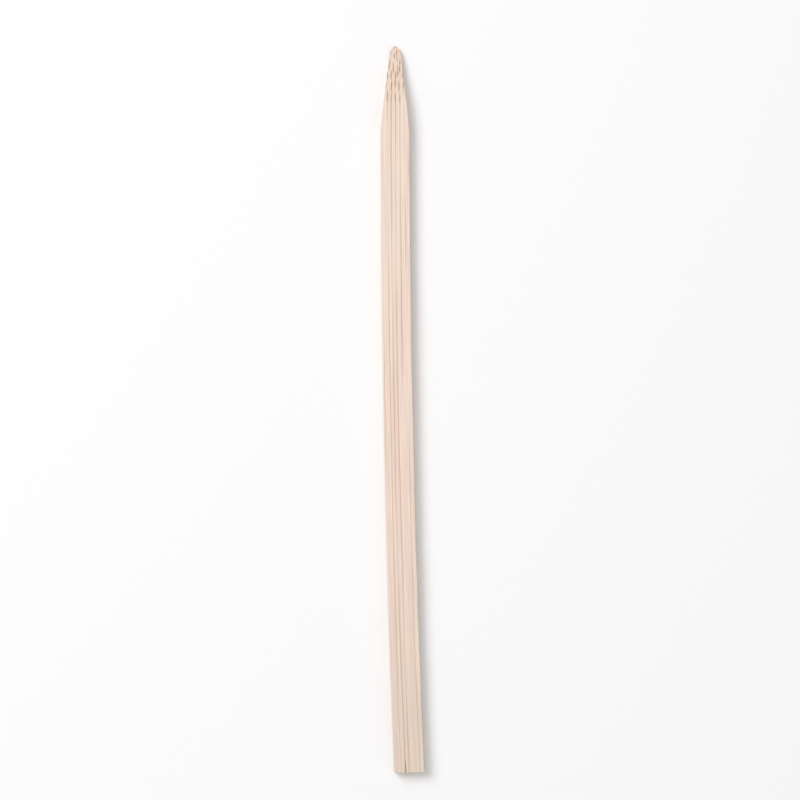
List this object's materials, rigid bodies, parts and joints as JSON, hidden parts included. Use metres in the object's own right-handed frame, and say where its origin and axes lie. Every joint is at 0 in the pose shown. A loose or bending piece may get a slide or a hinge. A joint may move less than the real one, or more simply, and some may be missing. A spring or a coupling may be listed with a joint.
{
  "type": "bamboo skewer",
  "caption": "Flat bamboo skewer with a planed upper face, a crowned skin face below, one ground point and one square-cut end.",
  "frame": {"origin": "centre of the footprint, on the surface that the skewer lies on", "axes": "+Y along the length towards the point, +X across the width, +Z out of the planed face; the skin faces down"},
  "size_m": [0.007, 0.15, 0.003],
  "materials": {
    "bamboo": "bare planed bamboo, matt with a faint sheen along the fibres; the skin face is olive green and smoother"
  },
  "bodies": {
    "root": {"skewer": "bamboo"}
  },
  "joints": []
}
